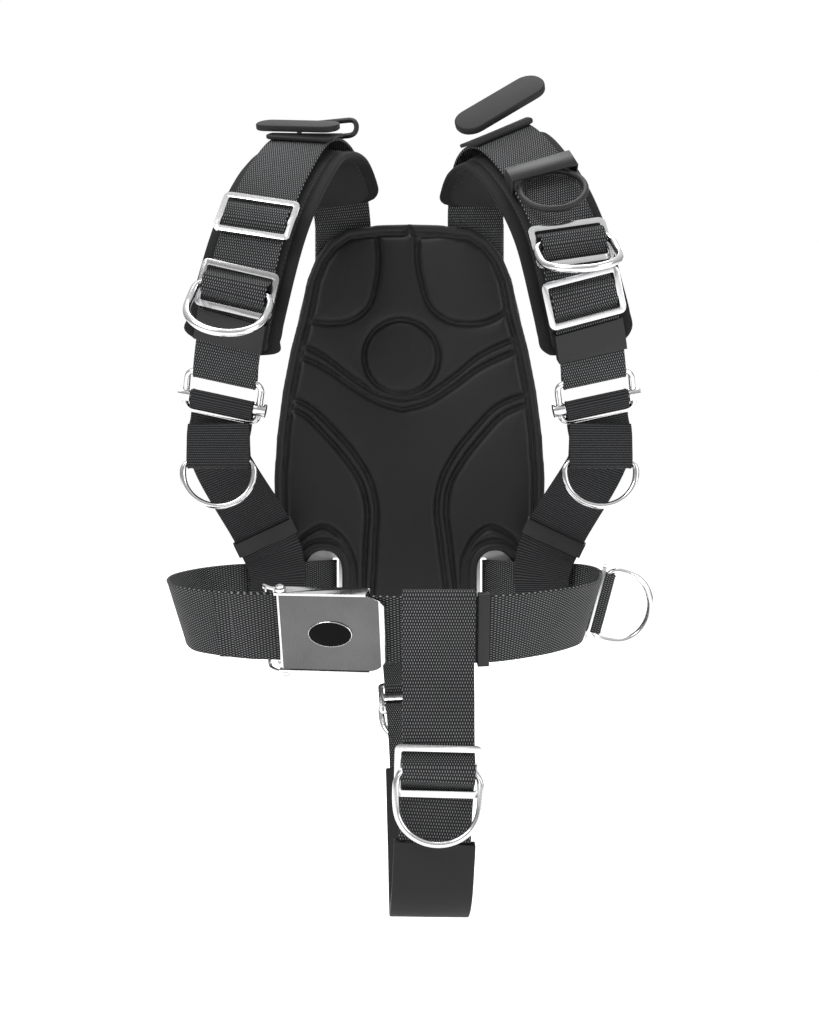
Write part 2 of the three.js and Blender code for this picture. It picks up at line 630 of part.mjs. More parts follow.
const rightBelt = new Route(foldBack(
  [...waistSide(-1), ...frontRight, buckleStation(-12), buckleStation(-slotReach)],
  { barRadius: buckle.sheet / 2, tail: 44 }).stations);
const leftBelt = new Route([
  buckleStation(4), buckleStation(30), buckleStation(60), buckleStation(70), ...frontLeft, ...waistSide(1).reverse()]);
const hipAt = leftBelt.distanceTo(13) - 11;

add('waist_belt_right', strap(rightBelt, {}), webCloth);
add('waist_belt_left', strap(leftBelt, { humps: [humpOver(hipAt, wire.plain)] }), webCloth);

function buckleFrame() {
  const { height, sheet: wall, pinRadius, rise } = buckle;
  const [low, high] = [floorLevel - wall / 2, floorLevel + wall / 2];
  const back = -slotReach - endBar;
  const floor = boxBetween([-height / 2 - wall, back, low], [height / 2 + wall, 61, high]);
  const flanges = [-1, 1].map((end) => boxBetween(
    [end > 0 ? height / 2 : -height / 2 - wall, -4, low],
    [end > 0 ? height / 2 + wall : -height / 2, 60, rise + 4]));
  const slot = boxBetween([-webbing.width / 2 - 1, -slotReach, -9], [webbing.width / 2 + 1, -0.5, 9]);
  const pinHole = rod(pinRadius + 0.3, 90).translate(0, 0, rise);
  return cut(join(floor, ...flanges), slot, pinHole);
}

function buckleLever() {
  const { height, pinRadius, rise, leverLength } = buckle;
  const knuckle = 3.4;
  const profile = new THREE.Shape();
  profile.moveTo(knuckle * 0.75, rise - knuckle * 0.66);
  profile.lineTo(knuckle * 0.75, webbing.thickness / 2 + fit);
  profile.lineTo(9, webbing.thickness / 2 + fit);
  profile.lineTo(11, rise + 1.6);
  profile.lineTo(leverLength - 8, rise + 1.6);
  profile.quadraticCurveTo(leverLength - 2, rise + 1.2, leverLength - 1.8, rise - 3.2);
  profile.lineTo(leverLength, rise - 3.2);
  profile.quadraticCurveTo(leverLength, rise + 3.2, leverLength - 8, rise + 3.2);
  profile.lineTo(0, rise + knuckle - 0.2);
  profile.absarc(0, rise, knuckle, Math.PI / 2, Math.PI * 1.75, false);
  const width = height - 2 * 0.5;
  const body = new THREE.ExtrudeGeometry(profile, { depth: width, bevelEnabled: false, curveSegments: 8 });
  // The profile was drawn in Y and Z, so it is turned to run along X.
  body.applyMatrix4(new THREE.Matrix4().makeBasis(
    new THREE.Vector3(0, 1, 0), new THREE.Vector3(0, 0, 1), new THREE.Vector3(1, 0, 0)));
  body.translate(-width / 2, 0, 0);
  const cornerRadius = 13;
  const plan = sheet(roundedRect(width, 2 * leverLength, cornerRadius), 60, 6);
  return cut(common(body, plan), rod(pinRadius + 0.3, 90).translate(0, 0, rise));
}

function bail() {
  const { height, sheet: wall, rise } = buckle;
  const reach = height / 2 + wall + fit + 1.1;
  const eyes = [-1, 1].map((end) => cut(
    rod(4, 2.2).translate(end * reach, 0, rise), rod(buckle.pinRadius + 0.4, 90).translate(0, 0, rise)));
  const behind = -(webbing.thickness * 1.5 + 2 * fit + 2.8);
  const path = new THREE.CatmullRomCurve3([
    [-reach, -3, rise], [-reach, -9, rise - 3], [-reach + 0.4, -13.5, rise - 8], [-reach + 4, -15, behind],
    [0, -15, behind], [reach - 4, -15, behind], [reach - 0.4, -13.5, rise - 8], [reach, -9, rise - 3],
    [reach, -3, rise]].map((point) => new THREE.Vector3(...point)), false, 'centripetal');
  const circle = new THREE.Shape();
  circle.absarc(0, 0, 1.4, 0, 2 * Math.PI);
  const legs = new THREE.ExtrudeGeometry(circle, { steps: 24, extrudePath: path, bevelEnabled: false, curveSegments: 3 });
  return join(legs, ...eyes);
}

function bucklePin() {
  const { height, sheet: wall, pinRadius, rise } = buckle;
  const half = height / 2 + wall + fit + 2.6;
  const heads = [-1, 1].map((end) => rod(3.2, 1.6).translate(end * (half + 0.8), 0, rise));
  return join(rod(pinRadius, 2 * half).translate(0, 0, rise), ...heads);
}

function badge() {
  const oval = new THREE.Shape();
  oval.absellipse(0, 0, 9.6, 15.6, 0, 2 * Math.PI);
  return sheet(oval, 1, roundness.holeSides).translate(0, 34, buckle.rise + 3.2 + 0.5 + 0.3);
}

add('buckle_frame', buckleFrame(), brushedSteel, bucklePlace);
add('buckle_lever', buckleLever(), brushedSteel, bucklePlace);
add('buckle_bail', bail(), steel, bucklePlace);
add('buckle_pin', bucklePin(), steel, bucklePlace);
add('buckle_badge', badge(), blackPlastic, bucklePlace);

// ---------------------------------------------------------------------------------------------
// What is threaded on the belt

// A slider with a D-ring whose bar lies under the webbing's hump.
function ringedSlider(names, route, at, ringShape, swing) {
  const lift = sliderLift + slider.thickness / 2 + fit + ringShape.wireDiameter / 2;
  add(names[0], sliderPlate(), steel, route.matrix(at, sliderLift));
  add(names[1], dRing(ringShape), steel, route.matrix(at, lift).multiply(new THREE.Matrix4().makeRotationX(swing)));
}

ringedSlider(['hip_slider', 'hip_dring'], leftBelt, hipAt, { width: 63, drop: 44, wireDiameter: wire.plain }, 1.35);

const keeperAt = leftBelt.distanceTo(6) + 6;
add('belt_keeper', sleeveAlong(leftBelt, {
  from: keeperAt - 4, to: keeperAt + 4, width: webbing.width + 3 * fit, depth: webbing.thickness + 3 * fit, wall: 1.4,
}), blackPlastic);

// ---------------------------------------------------------------------------------------------
// Crotch strap: sewn round the plate's tab, down and forward, up the front and over the belt.

function crotchRoute() {
  const tabRear = wingRear(plate.channelMouth / 2);
  const barHigh = crotchTab.slotZ - crotchTab.slotHeight / 2;
  const middle = tabRear - plate.thickness / 2;
  const radius = plate.thickness / 2 + beltOff + 0.4;
  const roundTab = [180, 135, 90, 45, 0].map((degrees) => {
    const [cos, sin] = [Math.cos(degrees * Math.PI / 180), Math.sin(degrees * Math.PI / 180)];
    return [0, middle - radius * cos, barHigh + radius * sin, 0, cos, -sin];
  });
  // Over the belt, square to it.
  const [x, ...yz] = frontLeft[1].slice(0, 3);
  const belt = new THREE.Vector3(x, ...yz);
  const out = new THREE.Vector3(0, -1, -0.32).normalize();
  const up = new THREE.Vector3(0, -0.32, 1).normalize();
  const nearBelt = (outward, upward, facing) => [
    ...belt.clone().addScaledVector(out, outward).addScaledVector(up, upward).toArray(), ...facing.toArray()];
  const gap = webbing.thickness + 2 * fit + 0.8;
  const overTop = [0, 45, 90, 135, 180].map((degrees) => {
    const [cos, sin] = [Math.cos(degrees * Math.PI / 180), Math.sin(degrees * Math.PI / 180)];
    const look = out.clone().multiplyScalar(cos).addScaledVector(up, sin);
    return nearBelt(gap * cos, webbing.width / 2 + gap * sin, look);
  });
  return new Route([
    [0, tabRear + beltOff + 2.4, crotchTab.bottom - 14, 0, -1, 0],
    ...roundTab,
    [0, middle - radius, crotchTab.bottom - 3, 0, 1, -0.1],
    [0.8, -33, -202.6, 0, 0.6, -0.8],
    [2, -48, -211, 0, 0.55, -0.83],
    [4, -71.7, -226.7, 0, 0.55, -0.83],
    [6, -95.5, -242.5, 0, 0.55, -0.83],
    [8.5, -124, -268, 0, 0.66, -0.75],
    [10, -157, -301, 0, 0.7, -0.7],
    [12, -190, -333, 0, 0.6, -0.8],
    [13, -218, -352, 0, 0.3, -1],
    [14, -243, -354, 0, -0.5, -0.9],
    [15.5, -259, -338, 0, -0.9, -0.4],
    [17, -266.5, -308, 0, -1, -0.1],
    [18.5, -269.5, -276, 0, -1, 0],
    [x, -270.5, -248, 0, -1, 0],
    [x, -270, -218, 0, -1, 0],
    [x, -268.6, -196, 0, -1, -0.2],
    nearBelt(gap, -webbing.width / 2, out),
    nearBelt(gap, 0, out),
    ...overTop,
    nearBelt(-gap, 0, out.clone().negate()),
    nearBelt(-gap, -webbing.width / 2, out.clone().negate()),
    [x, -268 + webbing.thickness + 2 * fit, -202, 0, 1, 0.1],
    [x, -270 + webbing.thickness + 2 * fit, -220, 0, 1, 0],
  ]);
}

const crotch = crotchRoute();
const crotchRear = crotch.distanceTo(9);
const crotchFront = crotch.distanceTo(19);
add('crotch_webbing', strap(crotch, {
  humps: [humpOver(crotchRear, wire.plain), humpOver(crotchFront, wire.plain)],
}), webCloth);
ringedSlider(['crotch_rear_slider', 'crotch_rear_dring'], crotch, crotchRear,
  { width: 63, drop: 46, wireDiameter: wire.plain }, 0.25);
ringedSlider(['crotch_front_slider', 'crotch_front_dring'], crotch, crotchFront,
  { width: 63, drop: 51, wireDiameter: wire.plain }, Math.PI - 0.12);
add('crotch_sleeve', sleeveAlong(crotch, {
  from: crotch.distanceTo(11) + 14, to: crotch.distanceTo(17) + 10, width: webbing.width + 2.4, depth: webbing.thickness + 2.4,
  wall: 2, maxStep: 6,
}), rubber);

// ---------------------------------------------------------------------------------------------
// Quick adjusters: a wire frame in the fold of the shoulder strap, and a bar that slides on its rods.

function adjusterBar() {
  const rods = adjuster.width / 2 - wire.adjuster / 2;
  const inside = webbing.width / 2 + 0.6;
  const knobs = [-1, 1].map((end) => rod(adjuster.knobRadius, 9.5).translate(end * (inside + 4.75), 0, 0));
  const holes = [-1, 1].map((end) => (
    hole(wire.adjuster / 2 + 0.4, 40).translate(end * rods, 0, 0)));
  return cut(join(rod(adjuster.barRadius, 2 * inside + 1), ...knobs), ...holes);
}

function lowerStrap(name, side, frame) {
  const wrap = adjuster.barRadius + fit + webbing.thickness / 2;
  const inFrame = (y, z, fy, fz) => {
    const point = new THREE.Vector3(0, y, z).applyMatrix4(frame);
    const facing = new THREE.Vector3(0, fy, fz).transformDirection(frame);
    return [...point.toArray(), ...facing.toArray()];
  };
  // The strap lies inside the belt, turns under its lower edge and is sewn to its outer face.
  const [cx, cy, cz] = waistSide(1)[8];
  const belt = new THREE.Vector3(side * cx, cy, cz);
  const out = new THREE.Vector3(side * 0.42, 0.91, 0).normalize();
  const layer = webbing.thickness + fit + 0.75;
  const half = webbing.width / 2;
  const byBelt = (outward, upward, facing) => [
    ...belt.clone().addScaledVector(out, outward).add(new THREE.Vector3(0, 0, upward)).toArray(), ...facing.toArray()];
  const under = [0, 45, 90, 135, 180].map((degrees) => {
    const [cos, sin] = [Math.cos(degrees * Math.PI / 180), Math.sin(degrees * Math.PI / 180)];
    const look = out.clone().multiplyScalar(cos).setZ(-sin);
    return byBelt(layer * cos, -half - layer * sin, look);
  });
  const keeper = new THREE.Vector3(side * 120, -77.5, -99);
  const leg = new THREE.Vector3(...inFrame(60, -wrap, 0, 1).slice(0, 3));
  const along = leg.clone().sub(keeper).normalize();
  const look = new THREE.Vector3(side * -0.36, -1, -0.55);
  const outward = along.clone().cross(look).cross(along).normalize();
  const nearKeeper = (up, outer, facing) => [
    ...keeper.clone().addScaledVector(along, up).addScaledVector(outward, outer).toArray(), ...facing.toArray()];
  const route = new Route([
    byBelt(layer, half - 3, out),
    byBelt(layer, 0, out),
    ...under,
    byBelt(-layer, half - 26, out.clone().negate()),
    byBelt(-layer - 3.5, half - 12, out.clone().negate()),
    nearKeeper(-9, 0, outward),
    nearKeeper(0, 0, outward),
    nearKeeper(20, 0, outward),
    inFrame(70, -wrap, 0, 1),
    inFrame(45, -wrap, 0, 1),
    ...[0, 45, 90, 135, 180].map((degrees) => {
      const [cos, sin] = [Math.cos(degrees * Math.PI / 180), Math.sin(degrees * Math.PI / 180)];
      return inFrame(adjuster.barDrop - wrap * sin, -wrap * cos, sin, cos);
    }),
    inFrame(adjuster.barDrop + 8, wrap, 0, -1),
  ]);
  add(`lower_webbing_${name}`, strap(route, {}), webCloth);
  const keeperAtStrap = route.distanceTo(-10) + 9;
  add(`lower_keeper_${name}`, sleeveAlong(route, {
    from: keeperAtStrap - 7, to: keeperAtStrap + 7, width: webbing.width + 3 * fit,
    depth: webbing.thickness + 4 * fit, wall: 1.4,
  }), blackPlastic);
  return inFrame(adjuster.barDrop + 16, wrap + 2.4, 0, 1);
}

function quickAdjuster(name, side, frame) {
  const rods = adjuster.width / 2 - wire.adjuster / 2;
  add(`adjuster_frame_${name}`, wireLoop(-rods, rods, 0, adjuster.height, 3.5, wire.adjuster), steel, frame);
  add(`adjuster_bar_${name}`, adjusterBar(), steel,
    frame.clone().multiply(new THREE.Matrix4().makeTranslation(0, adjuster.barDrop, 0)));
  const [x, y, z, ...look] = lowerStrap(name, side, frame);

  // The pull tab hangs from the end of the wrap and holds its own D-ring.
  const tabRoute = foldBack([
    [x, y, z, ...look], [x, y - 0.8, z - 10, 0, -1, 0], [x, y - 1.6, z - 20, 0, -1, 0], [x, y - 2.4, z - 30, 0, -1, 0],
  ], { barRadius: wire.adjuster / 2 + fit, tail: 26 });
  add(`pull_tab_${name}`, strap(new Route(tabRoute.stations), {}), webCloth);
  add(`pull_dring_${name}`, dRing({ width: 62, drop: 38, wireDiameter: wire.adjuster }), steel, tabRoute.bar);
}

quickAdjuster('right', -1, right.bar);
quickAdjuster('left', 1, left.bar);

export default model;
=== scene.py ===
import itertools
import json
import math

import bmesh
import bpy
import numpy as np
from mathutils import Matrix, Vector, kdtree


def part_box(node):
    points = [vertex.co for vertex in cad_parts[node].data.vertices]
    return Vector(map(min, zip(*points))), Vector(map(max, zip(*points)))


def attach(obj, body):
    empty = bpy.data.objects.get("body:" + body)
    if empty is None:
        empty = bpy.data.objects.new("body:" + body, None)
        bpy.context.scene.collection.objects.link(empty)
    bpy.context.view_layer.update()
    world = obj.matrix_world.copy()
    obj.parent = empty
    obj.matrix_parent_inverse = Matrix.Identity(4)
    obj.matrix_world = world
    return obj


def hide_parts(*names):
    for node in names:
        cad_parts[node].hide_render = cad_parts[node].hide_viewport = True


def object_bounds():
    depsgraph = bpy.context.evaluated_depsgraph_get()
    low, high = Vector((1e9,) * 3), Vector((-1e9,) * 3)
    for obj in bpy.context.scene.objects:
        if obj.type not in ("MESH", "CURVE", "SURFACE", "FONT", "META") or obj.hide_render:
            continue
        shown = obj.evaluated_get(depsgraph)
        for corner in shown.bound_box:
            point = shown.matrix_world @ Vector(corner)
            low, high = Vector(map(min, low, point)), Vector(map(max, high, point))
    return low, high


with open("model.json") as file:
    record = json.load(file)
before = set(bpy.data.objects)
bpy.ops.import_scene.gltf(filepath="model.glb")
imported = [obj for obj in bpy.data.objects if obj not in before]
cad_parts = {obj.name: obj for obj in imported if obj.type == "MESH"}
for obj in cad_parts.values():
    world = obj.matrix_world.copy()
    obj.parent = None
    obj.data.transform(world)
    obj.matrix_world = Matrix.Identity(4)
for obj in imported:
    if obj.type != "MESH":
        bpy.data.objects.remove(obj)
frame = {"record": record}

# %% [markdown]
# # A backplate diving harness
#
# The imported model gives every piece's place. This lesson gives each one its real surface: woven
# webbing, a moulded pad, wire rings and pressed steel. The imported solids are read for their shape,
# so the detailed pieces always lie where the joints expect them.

MM = 0.001
cad_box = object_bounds()
record = frame["record"]
body_of_node = {node: body for body, nodes in record["behaviour"]["bodies"].items() for node in nodes}
scene = bpy.context.scene

# %% [markdown]
# ## Camera, light and floor
#
# A harness of black cloth needs broad soft light: small lamps would give it only a few hot spots.
# The camera stands level in front of the wearer's chest, about a metre away.

# %% Camera and studio
CAMERA_PLACE = (0, -1.068, -0.070)
LENS = 40.7
FLOOR_LEVEL = cad_box[0].z - 0.03

camera = bpy.data.objects.new("camera", bpy.data.cameras.new("camera"))
camera.location = CAMERA_PLACE
camera.rotation_euler = (math.radians(90), 0, 0)
camera.data.lens = LENS
scene.collection.objects.link(camera)
scene.camera = camera

print("camera", LENS, "mm, at", CAMERA_PLACE)


# %% Lamps
def soft_light(name, place, aim, size, power):
    light = bpy.data.lights.new(name, "AREA")
    light.shape = "DISK"
    light.size = size
    light.energy = power
    lamp = bpy.data.objects.new(name, light)
    lamp.location = place
    lamp.rotation_euler = (Vector(aim) - Vector(place)).to_track_quat("-Z", "Y").to_euler()
    scene.collection.objects.link(lamp)


soft_light("key", (-1.1, -1.5, 1.4), (0, -0.1, 0), 1.2, 30)
soft_light("fill", (1.6, -1.3, 0.5), (0, -0.1, 0), 1.2, 13)
soft_light("top", (0, 0.1, 1.7), (0, -0.1, 0), 1.2, 18)
soft_light("back", (0.6, 1.8, 0.9), (0, 0, 0), 1.4, 16)
print(len(bpy.data.lights), "lamps")

# %% [markdown]
# The room is bright overhead and dim low down, so that steel has something dark to mirror. Seen
# directly behind the harness it stays an even white, as a paper backdrop does.

# %% The room round the harness
ROOM_DIM, ROOM_BRIGHT = 0.16, 1.0
DIM_BELOW, BRIGHT_ABOVE = -0.25, 0.8
BACKDROP = 1.0

world = bpy.data.worlds.new("studio")
scene.world = world
world.use_nodes = True
sky = world.node_tree
direction = sky.nodes.new("ShaderNodeTexCoord").outputs["Generated"]
upward = sky.nodes.new("ShaderNodeSeparateXYZ")
sky.links.new(direction, upward.inputs[0])
room = sky.nodes.new("ShaderNodeMapRange")
for label, value in (("From Min", DIM_BELOW), ("From Max", BRIGHT_ABOVE),
                     ("To Min", ROOM_DIM), ("To Max", ROOM_BRIGHT)):
    room.inputs[label].default_value = value
sky.links.new(upward.outputs["Z"], room.inputs["Value"])
seen = sky.nodes.new("ShaderNodeLightPath").outputs["Is Camera Ray"]
level = sky.nodes.new("ShaderNodeMix")
sky.links.new(seen, level.inputs[0])
sky.links.new(room.outputs[0], level.inputs[2])
level.inputs[3].default_value = BACKDROP
sky.links.new(level.outputs[0], sky.nodes["Background"].inputs["Strength"])
sky.nodes["Background"].inputs["Color"].default_value = (1, 1, 1, 1)
scene.view_settings.view_transform = "Standard"
print("room from", ROOM_DIM, "to", ROOM_BRIGHT)

# %% Floor
FLOOR_REACH = 12
FLOOR_CORNERS = ((-1, -1), (1, -1), (1, 1), (-1, 1))

floor_mesh = bpy.data.meshes.new("floor")
floor_mesh.from_pydata([(x * FLOOR_REACH, y * FLOOR_REACH, FLOOR_LEVEL) for x, y in FLOOR_CORNERS],
                       [], [(0, 1, 2, 3)])
floor = bpy.data.objects.new("floor", floor_mesh)
scene.collection.objects.link(floor)
print("floor at", round(FLOOR_LEVEL, 3))

# %% [markdown]
# ## Finishes
#
# Nodes are wired by a small helper. The effects that several finishes share, the weave, the cloth's
# fine grain and the wear of metal, are node groups that put out only heights and masks.


# %% Node helpers
def wire_up(tree, kind, settings=None, **inputs):
    """Add a node, with its properties and its inputs by name, or by number as i2, i3 and so on."""
    node = tree.nodes.new(kind)
    for key, value in (settings or {}).items():
        setattr(node, key, value)
    for key, value in inputs.items():
        numbered = key[0] == "i" and key[1:].isdigit()
        socket = node.inputs[int(key[1:]) if numbered else key.replace("_", " ")]
        if isinstance(value, bpy.types.NodeSocket):
            tree.links.new(value, socket)
        else:
            socket.default_value = value
    return node


def sums(tree, operation, first, second=0.0, third=0.0):
    node = tree.nodes.new("ShaderNodeMath")
    node.operation = operation
    for socket, value in zip(node.inputs, (first, second, third)):
        if isinstance(value, bpy.types.NodeSocket):
            tree.links.new(value, socket)
        else:
            socket.default_value = value
    return node.outputs[0]


def group(name, inputs, outputs):
    tree = bpy.data.node_groups.new(name, "ShaderNodeTree")
    for label, kind, default in inputs:
        socket = tree.interface.new_socket(label, in_out="INPUT", socket_type=kind)
        if default is not None:
            socket.default_value = default
    for label, kind in outputs:
        tree.interface.new_socket(label, in_out="OUTPUT", socket_type=kind)
    return tree, tree.nodes.new("NodeGroupInput").outputs, tree.nodes.new("NodeGroupOutput").inputs


# %% Weave: threads that cross over and under, measured in millimetres along the strap, and a mask of their crowns for a painted highlight
weave, given, result = group(
    "Weave",
    [("Place", "NodeSocketVector", None), ("Across", "NodeSocketFloat", 1.3),
     ("Along", "NodeSocketFloat", 1.6), ("Rib", "NodeSocketFloat", 0.0)],
    [("Height", "NodeSocketFloat"), ("Painted crown highlight", "NodeSocketFloat")])
split = wire_up(weave, "ShaderNodeSeparateXYZ", Vector=given["Place"])
turn_x = sums(weave, "MULTIPLY", sums(weave, "DIVIDE", split.outputs["X"], given["Across"]), math.pi)
turn_y = sums(weave, "MULTIPLY", sums(weave, "DIVIDE", split.outputs["Y"], given["Along"]), math.pi)
crossing = sums(weave, "MULTIPLY", sums(weave, "SINE", turn_x), sums(weave, "SINE", turn_y))
ribs = sums(weave, "ABSOLUTE", sums(weave, "SINE", turn_y))
plain = sums(weave, "MULTIPLY_ADD", crossing, 0.5, 0.5)
height = wire_up(weave, "ShaderNodeMix", {"data_type": "FLOAT"}, Factor=given["Rib"], i2=plain, i3=ribs)
weave.links.new(height.outputs[0], result["Height"])
# The crowns where the threads rise: the webbing finishes paint them lighter as a painted highlight, and leave
# the hollows dark as painted shade.
painted_crown_highlight = wire_up(weave, "ShaderNodeMapRange", {"interpolation_type": "SMOOTHSTEP"},
                 Value=height.outputs[0], i1=0.6, i2=0.95)
weave.links.new(painted_crown_highlight.outputs[0], result["Painted crown highlight"])

# %% Grain: the fuzz of cloth and the faint mottling that handling leaves
grain, given, result = group(
    "Grain", [("Place", "NodeSocketVector", None), ("Scale", "NodeSocketFloat", 900.0)],
    [("Fine", "NodeSocketFloat"), ("Patches", "NodeSocketFloat")])
fine = wire_up(grain, "ShaderNodeTexNoise", Vector=given["Place"], Scale=given["Scale"], Detail=3.0)
patches = wire_up(grain, "ShaderNodeTexNoise", Vector=given["Place"], Scale=14.0, Detail=4.0)
grain.links.new(fine.outputs[0], result["Fine"])
grain.links.new(patches.outputs[0], result["Patches"])

# %% Scratches: long fine marks, drawn out along one direction, and the smears that hands leave
scratches, given, result = group(
    "Scratches", [("Place", "NodeSocketVector", None), ("Drawn out", "NodeSocketVector", (60.0, 60.0, 60.0))],
    [("Lines", "NodeSocketFloat"), ("Smears", "NodeSocketFloat")])
drawn = wire_up(scratches, "ShaderNodeVectorMath", {"operation": "MULTIPLY"}, i0=given["Place"],
                i1=given["Drawn out"])
lines = wire_up(scratches, "ShaderNodeTexNoise", Vector=drawn.outputs[0], Scale=10.0, Detail=5.0)
smears = wire_up(scratches, "ShaderNodeTexNoise", Vector=given["Place"], Scale=35.0, Detail=3.0)
scratches.links.new(lines.outputs[0], result["Lines"])
scratches.links.new(smears.outputs[0], result["Smears"])
print("groups:", [g.name for g in bpy.data.node_groups])


# %% A finish: the plain shader, with a ramp of colour and of roughness over one varying value
def finish(name, dark, light, rough, metallic=0.0, bump=0.3, depth=0.0003, sheen=0.0, gloss=0.5):
    """rough is the pair of roughness values between which the patches move."""
    material = bpy.data.materials.new(name)
    material.use_nodes = True
    tree = material.node_tree
    shader = tree.nodes["Principled BSDF"]
    shader.inputs["Metallic"].default_value = metallic
    shader.inputs["Specular IOR Level"].default_value = gloss
    shader.inputs["Sheen Weight"].default_value = sheen
    shader.inputs["Sheen Roughness"].default_value = 0.45

    def connect(colour_mask, rough_mask, relief):
        colour = wire_up(tree, "ShaderNodeMix", {"data_type": "RGBA"})
        tree.links.new(colour_mask, colour.inputs["Factor"])
        colour.inputs[6].default_value = (*dark, 1)
        colour.inputs[7].default_value = (*light, 1)
        tree.links.new(colour.outputs[2], shader.inputs["Base Color"])
        roughness = wire_up(tree, "ShaderNodeMapRange", i3=rough[0], i4=rough[1])
        tree.links.new(rough_mask, roughness.inputs["Value"])
        tree.links.new(roughness.outputs[0], shader.inputs["Roughness"])
        raised = wire_up(tree, "ShaderNodeBump", Strength=bump, Distance=depth, Height=relief)
        tree.links.new(raised.outputs[0], shader.inputs["Normal"])
        return material
    return tree, connect


def use(tree, shared, **inputs):
    node = tree.nodes.new("ShaderNodeGroup")
    node.node_tree = shared
    for key, value in inputs.items():
        socket = node.inputs[key.replace("_", " ")]
        if isinstance(value, bpy.types.NodeSocket):
            tree.links.new(value, socket)
        else:
            socket.default_value = value
    return node.outputs


def object_place(tree):
    return wire_up(tree, "ShaderNodeTexCoord").outputs["Object"]


def woven(name, dark, light, across, along, rib=0.0, rough=(0.72, 0.9), bump=0.6, depth=0.0004, sheen=0.15):
    tree, connect = finish(name, dark, light, rough, bump=bump, depth=depth, sheen=sheen, gloss=0.22)
    strip = wire_up(tree, "ShaderNodeUVMap", {"uv_map": "cloth"}).outputs[0]
    threads = use(tree, weave, Place=strip, Across=across, Along=along, Rib=rib)
    fuzz = use(tree, grain, Place=object_place(tree), Scale=1800.0)
    # Colour: a painted highlight on the weave's crowns, varied by the cloth's real mottling.
    shade = sums(tree, "MULTIPLY", threads["Painted crown highlight"], sums(tree, "MULTIPLY_ADD", fuzz["Patches"], 0.9, 0.35))
    relief = sums(tree, "MULTIPLY_ADD", fuzz["Fine"], 0.25, threads["Height"])
    return connect(shade, fuzz["Patches"], relief)


def cloth_like(name, dark, light, rough, scale=1600.0, bump=0.25, depth=0.0002, sheen=0.1, gloss=0.28):
    tree, connect = finish(name, dark, light, rough, bump=bump, depth=depth, sheen=sheen, gloss=gloss)
    fuzz = use(tree, grain, Place=object_place(tree), Scale=scale)
    shade = sums(tree, "MULTIPLY", fuzz["Fine"], fuzz["Patches"])
    return connect(shade, fuzz["Patches"], fuzz["Fine"])


def metal(name, dark, light, rough, drawn_out=(60.0, 60.0, 60.0), bump=0.08):
    tree, connect = finish(name, dark, light, rough, metallic=1.0, bump=bump, depth=0.0001)
    marks = use(tree, scratches, Place=object_place(tree), Drawn_out=drawn_out)
    shade = sums(tree, "MULTIPLY_ADD", marks["Smears"], 0.5, sums(tree, "MULTIPLY", marks["Lines"], 0.5))
    return connect(shade, marks["Lines"], marks["Lines"])


# %% The finishes of this harness
# In the woven finishes the lighter colour is the painted highlight on the crowns of the weave, and the darker
# one is the webbing's own black.
belt_weave = woven("coarse webbing", (0.006, 0.006, 0.0065), (0.2, 0.205, 0.21), 0.9, 2.3, sheen=0.0)
rib_weave = woven("ribbed webbing", (0.005, 0.005, 0.0055), (0.045, 0.046, 0.049), 0.9, 1.9, rib=0.8,
                  bump=0.8, sheen=0.0)
binding = woven("binding tape", (0.004, 0.004, 0.0045), (0.018, 0.018, 0.019), 0.8, 0.9, rib=0.5, bump=0.4,
                sheen=0.02)
pad_cloth = cloth_like("pad cloth", (0.004, 0.004, 0.0042), (0.012, 0.012, 0.0125), (0.44, 0.6), sheen=0.03)
neoprene = cloth_like("neoprene", (0.004, 0.004, 0.0043), (0.014, 0.014, 0.015), (0.6, 0.8), scale=2600.0,
                      sheen=0.02)
patch_plastic = cloth_like("smooth patch", (0.006, 0.006, 0.007), (0.014, 0.014, 0.015), (0.36, 0.55),
                           scale=700.0, bump=0.12, sheen=0.0)
ring_rubber = cloth_like("rubber", (0.008, 0.008, 0.008), (0.02, 0.02, 0.02), (0.45, 0.6), scale=900.0,
                         bump=0.1, sheen=0.0)
polished = metal("polished steel", (0.46, 0.46, 0.465), (0.7, 0.7, 0.71), (0.1, 0.24))
brushed = metal("brushed steel", (0.055, 0.055, 0.055), (0.14, 0.14, 0.14), (0.2, 0.36),
                drawn_out=(900.0, 60.0, 12.0), bump=0.18)
plate_steel = metal("plate steel", (0.40, 0.40, 0.41), (0.62, 0.62, 0.63), (0.28, 0.46),
                    drawn_out=(700.0, 700.0, 14.0), bump=0.14)
FLOOR_GLOW = 0.42
pale = cloth_like("studio floor", (0.93, 0.93, 0.93), (0.97, 0.97, 0.97), (0.8, 0.95), scale=40.0,
                  bump=0.02, sheen=0.0)
floor_shader = pale.node_tree.nodes["Principled BSDF"]
floor_shader.inputs["Emission Color"].default_value = (1, 1, 1, 1)
floor_shader.inputs["Emission Strength"].default_value = FLOOR_GLOW
floor.data.materials.append(pale)
enamel = cloth_like("badge enamel", (0.001, 0.001, 0.001), (0.003, 0.003, 0.003), (0.12, 0.2), scale=300.0,
                    bump=0.03, sheen=0.0, gloss=0.06)
thread = cloth_like("sewing thread", (0.02, 0.02, 0.021), (0.06, 0.06, 0.062), (0.6, 0.8), scale=3000.0)
print(len(bpy.data.materials), "materials")

# %% [markdown]
# ## Reading a strap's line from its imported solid
#
# Every length of webbing was packed as rings of four corners. Walking the solid from one end gives
# those rings back, and a fine strip can then be drawn along the same line.


# %% Rings of a packed strap
WELD = 0.02 * MM


def welded(node):
    mesh = bmesh.new()
    mesh.from_mesh(bpy.data.objects[node].data)
    bmesh.ops.remove_doubles(mesh, verts=mesh.verts, dist=WELD)
    mesh.verts.ensure_lookup_table()
    return mesh


def layers_from(start, near):
    seen, layers = set(start), [sorted(start)]
    while True:
        reached = sorted({n for v in layers[-1] for n in near[v]} - seen)
        if not reached:
            return layers
        seen.update(reached)
        layers.append(reached)


